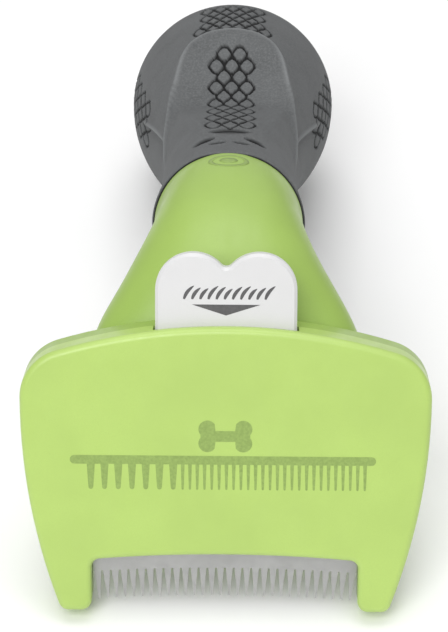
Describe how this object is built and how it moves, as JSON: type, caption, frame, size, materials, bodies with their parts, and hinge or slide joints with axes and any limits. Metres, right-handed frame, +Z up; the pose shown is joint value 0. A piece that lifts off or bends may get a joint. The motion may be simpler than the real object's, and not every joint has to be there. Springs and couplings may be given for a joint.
{
  "type": "deshedding tool",
  "caption": "Hand-held deshedding tool: wide flat head with a curved steel comb blade between two skin guards, a bent neck, a pear-shaped rubber grip and a push button that ejects loose hair.",
  "frame": {"origin": "middle of the tool's footprint on the surface that it rests on, standing on its two skin guards and the fat end of its handle", "axes": "+Z up; +Y from the comb towards the fat end of the handle; +X to the right seen from the front of the head"},
  "size_m": [0.0688, 0.1548, 0.0587],
  "materials": {
    "green_plastic": "satin moulded",
    "white_plastic": "satin moulded",
    "grip_rubber": "matt, moulded grooves",
    "inner_plastic": "plain moulded",
    "blade_steel": "ground",
    "fastener_steel": "plain"
  },
  "bodies": {
    "root": {"face_cover": "green_plastic", "back_shell": "green_plastic", "neck_cover": "green_plastic", "deshedding_blade": "blade_steel", "return_spring_left": "fastener_steel", "return_spring_right": "fastener_steel", "blade_screws": "fastener_steel", "corner_screws": "fastener_steel", "neck_screws": "fastener_steel", "handle_screw": "fastener_steel", "core_upper": "inner_plastic", "core_lower": "inner_plastic", "core_screws": "fastener_steel", "grip_sleeve": "grip_rubber"},
    "ejector": {"ejector_button": "white_plastic", "ejector_slider": "inner_plastic", "ejector_plate": "blade_steel", "ejector_rivets": "fastener_steel"}
  },
  "joints": [
    {"name": "ejector_slide", "type": "slide", "parent": "root", "child": "ejector", "axis": [0, -0.3869, -0.9221], "range_m": [0, 0.008], "stiffness_N_per_m": 600, "springref_m": -0.004, "deforming": ["return_spring_left", "return_spring_right"]}
  ]
}
